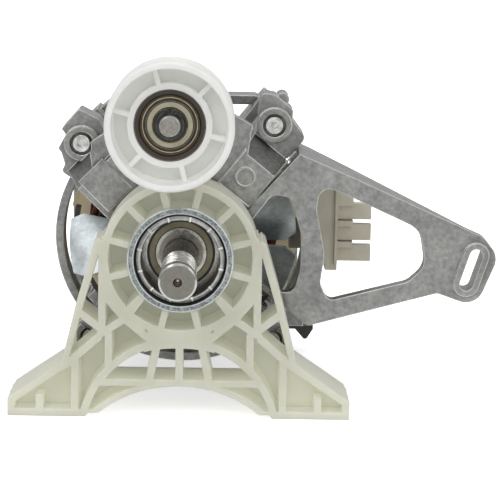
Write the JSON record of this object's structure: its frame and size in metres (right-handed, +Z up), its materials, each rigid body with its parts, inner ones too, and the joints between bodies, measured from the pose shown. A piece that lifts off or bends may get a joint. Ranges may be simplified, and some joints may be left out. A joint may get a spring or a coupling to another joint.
{
  "type": "dryer motor",
  "caption": "Tumble dryer motor on a ribbed plastic front foot, with a white belt idler wheel, a grooved shaft, an inner fan and a cast arm that ends in a slot.",
  "frame": {"origin": "on the shaft axis, at the front face of the steel ring on the foot; the foot stands at z -0.078 m", "axes": "+X to the side of the slotted arm, +Y along the shaft to the back, +Z up; rows stay as modelled"},
  "size_m": [0.2382, 0.267, 0.1772],
  "materials": {
    "foot_plastic": "matte",
    "galvanised_steel": "spangled",
    "damper_rubber": "matte",
    "spring_steel": "satin",
    "cast_aluminium": "as cast",
    "stack_steel": "laminated",
    "copper_wire": "varnished",
    "insulator_plastic": "satin",
    "block_plastic": "satin",
    "tinned_brass": "bright",
    "bolt_steel": "zinc plated",
    "black_plastic": "matte",
    "ground_steel": "ground",
    "cage_aluminium": "cast",
    "fan_sheet": "satin",
    "hub_steel": "turned",
    "wheel_plastic": "semi-gloss",
    "dark_steel": "satin",
    "bearing_steel": "ground",
    "cage_steel": "pressed",
    "seal_rubber": "matte"
  },
  "bodies": {
    "stand": {"front_foot": "foot_plastic"},
    "motor": {"foot_ring": "galvanised_steel", "damper_ring": "damper_rubber", "star_ring": "spring_steel", "front_shield": "cast_aluminium", "stator_core": "stack_steel", "slot_bundles": "copper_wire", "front_winding": "copper_wire", "rear_winding": "copper_wire", "front_end_plate": "insulator_plastic", "rear_end_plate": "insulator_plastic", "terminal_block": "block_plastic", "terminal_blades": "tinned_brass", "rear_shield": "cast_aluminium", "tie_bolts": "bolt_steel", "wire_clip": "black_plastic", "wheel_pin": "ground_steel", "wheel_ring": "spring_steel", "front_bearing_outer": "bearing_steel", "front_bearing_seals": "seal_rubber", "rear_bearing_outer": "bearing_steel", "rear_bearing_seals": "seal_rubber", "wheel_bearing_inner": "bearing_steel"},
    "rotor": {"shaft": "ground_steel", "shaft_ring": "spring_steel", "rotor_core": "stack_steel", "rotor_cage": "cage_aluminium", "fan": "fan_sheet", "fan_hub": "hub_steel", "front_bearing_inner": "bearing_steel", "rear_bearing_inner": "bearing_steel"},
    "idler": {"idler_wheel": "wheel_plastic", "wheel_sleeve": "dark_steel", "wheel_bearing_outer": "bearing_steel", "wheel_bearing_seals": "seal_rubber"},
    "front_balls": {"front_bearing_balls": "bearing_steel", "front_bearing_cage": "cage_steel"},
    "rear_balls": {"rear_bearing_balls": "bearing_steel", "rear_bearing_cage": "cage_steel"},
    "wheel_balls": {"wheel_bearing_balls": "bearing_steel", "wheel_bearing_cage": "cage_steel"}
  },
  "joints": [
    {"name": "motor_swing", "type": "hinge", "parent": "stand", "child": "motor", "pos_m": [0, 0.015, 0], "axis": [0, 1, 0], "range_deg": [-3, 3]},
    {"name": "rotor_spin", "type": "hinge", "parent": "motor", "child": "rotor", "pos_m": [0, 0.09, 0], "axis": [0, 1, 0], "continuous": true},
    {"name": "wheel_spin", "type": "hinge", "parent": "motor", "child": "idler", "pos_m": [-0.0044, -0.038, 0.07], "axis": [0, 1, 0], "continuous": true},
    {"name": "front_balls_turn", "type": "hinge", "parent": "motor", "child": "front_balls", "pos_m": [0, 0.026, 0], "axis": [0, 1, 0], "continuous": true},
    {"name": "rear_balls_turn", "type": "hinge", "parent": "motor", "child": "rear_balls", "pos_m": [0, 0.1765, 0], "axis": [0, 1, 0], "continuous": true},
    {"name": "wheel_balls_turn", "type": "hinge", "parent": "motor", "child": "wheel_balls", "pos_m": [-0.0044, -0.0395, 0.07], "axis": [0, 1, 0], "continuous": true}
  ],
  "couplings": [
    {"joint": "front_balls_turn", "follows": "rotor_spin", "ratio": 0.38379},
    {"joint": "rear_balls_turn", "follows": "rotor_spin", "ratio": 0.38314},
    {"joint": "wheel_balls_turn", "follows": "wheel_spin", "ratio": 0.62865}
  ]
}
